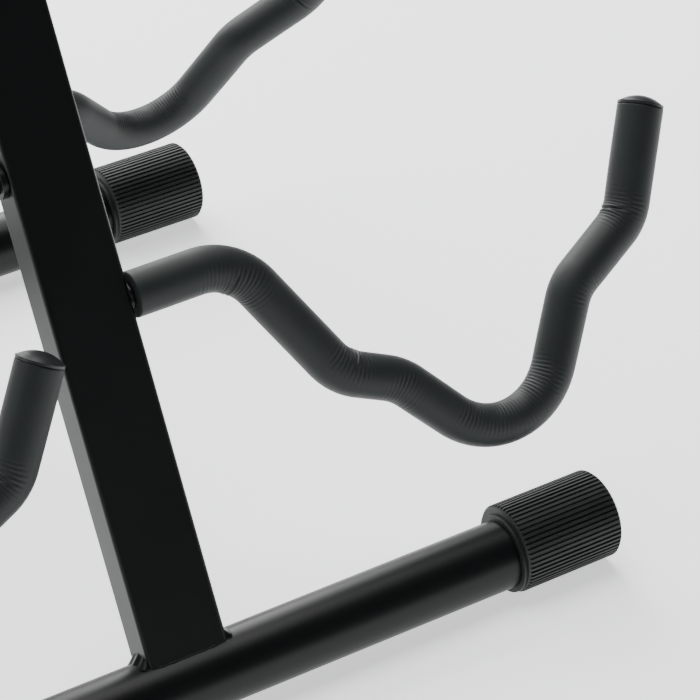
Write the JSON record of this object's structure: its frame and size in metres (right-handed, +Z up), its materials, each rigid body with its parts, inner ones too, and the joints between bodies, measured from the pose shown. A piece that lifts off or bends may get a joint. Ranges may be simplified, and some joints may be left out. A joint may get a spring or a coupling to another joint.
{
  "type": "guitar rack",
  "caption": "Folding guitar rack: A-frames on shared base tubes, with wave-shaped foam-padded arms that hold guitars by the lower body.",
  "frame": {"origin": "middle of the bottom of the whole rack's box, on the floor", "axes": "+X the way the guitars face, along the base tubes; +Y towards the side that swings; +Z up"},
  "size_m": [0.7436, 0.4192, 0.4332],
  "materials": {
    "powder_coat": "satin black powder coat",
    "moulded_rubber": "matte ribbed",
    "arm_foam": "soft dark foam",
    "moulded_plastic": "satin",
    "bare_steel": "drawn",
    "black_hardware": "black oxide"
  },
  "bodies": {
    "left_side": {"front_back_pad": "arm_foam", "front_hinge_bolt": "black_hardware", "front_hinge_nut": "black_hardware", "front_hinge_plate": "powder_coat", "front_hinge_plate_back": "powder_coat", "front_stay_rivet": "black_hardware", "left_base_tube": "powder_coat", "left_front_arm_cap": "moulded_plastic", "left_front_arm_foam": "arm_foam", "left_front_arm_rod": "bare_steel", "left_front_foot": "moulded_rubber", "left_front_leg": "powder_coat", "left_front_leg_plug": "moulded_plastic", "left_rear_arm_cap": "moulded_plastic", "left_rear_arm_foam": "arm_foam", "left_rear_arm_rod": "bare_steel", "left_rear_foot": "moulded_rubber", "left_rear_leg": "powder_coat", "left_rear_leg_plug": "moulded_plastic", "rear_back_pad": "arm_foam", "rear_hinge_bolt": "black_hardware", "rear_hinge_nut": "black_hardware", "rear_hinge_plate": "powder_coat", "rear_hinge_plate_back": "powder_coat", "rear_stay_rivet": "black_hardware"},
    "right_side": {"front_hinge_barrel": "powder_coat", "front_stay_stud": "black_hardware", "rear_hinge_barrel": "powder_coat", "rear_stay_stud": "black_hardware", "right_base_tube": "powder_coat", "right_front_arm_cap": "moulded_plastic", "right_front_arm_foam": "arm_foam", "right_front_arm_rod": "bare_steel", "right_front_foot": "moulded_rubber", "right_front_leg": "powder_coat", "right_rear_arm_cap": "moulded_plastic", "right_rear_arm_foam": "arm_foam", "right_rear_arm_rod": "bare_steel", "right_rear_foot": "moulded_rubber", "right_rear_leg": "powder_coat"},
    "front_stay": {"front_stay_bar": "powder_coat"},
    "rear_stay": {"rear_stay_bar": "powder_coat"}
  },
  "joints": [
    {"name": "fold", "type": "hinge", "parent": "left_side", "child": "right_side", "pos_m": [0, 0.01156, 0.40439], "axis": [-1, 0, 0], "range_deg": [0, 46]},
    {"name": "front_stay_swing", "type": "hinge", "parent": "left_side", "child": "front_stay", "pos_m": [0.07523, -0.09331, 0.22665], "axis": [1, 0, 0], "range_deg": [0, 65]},
    {"name": "rear_stay_swing", "type": "hinge", "parent": "left_side", "child": "rear_stay", "pos_m": [-0.24777, -0.09331, 0.22665], "axis": [1, 0, 0], "range_deg": [0, 65]}
  ],
  "couplings": [
    {"joint": "front_stay_swing", "follows": "fold", "ratio": 1.413},
    {"joint": "rear_stay_swing", "follows": "fold", "ratio": 1.413}
  ]
}
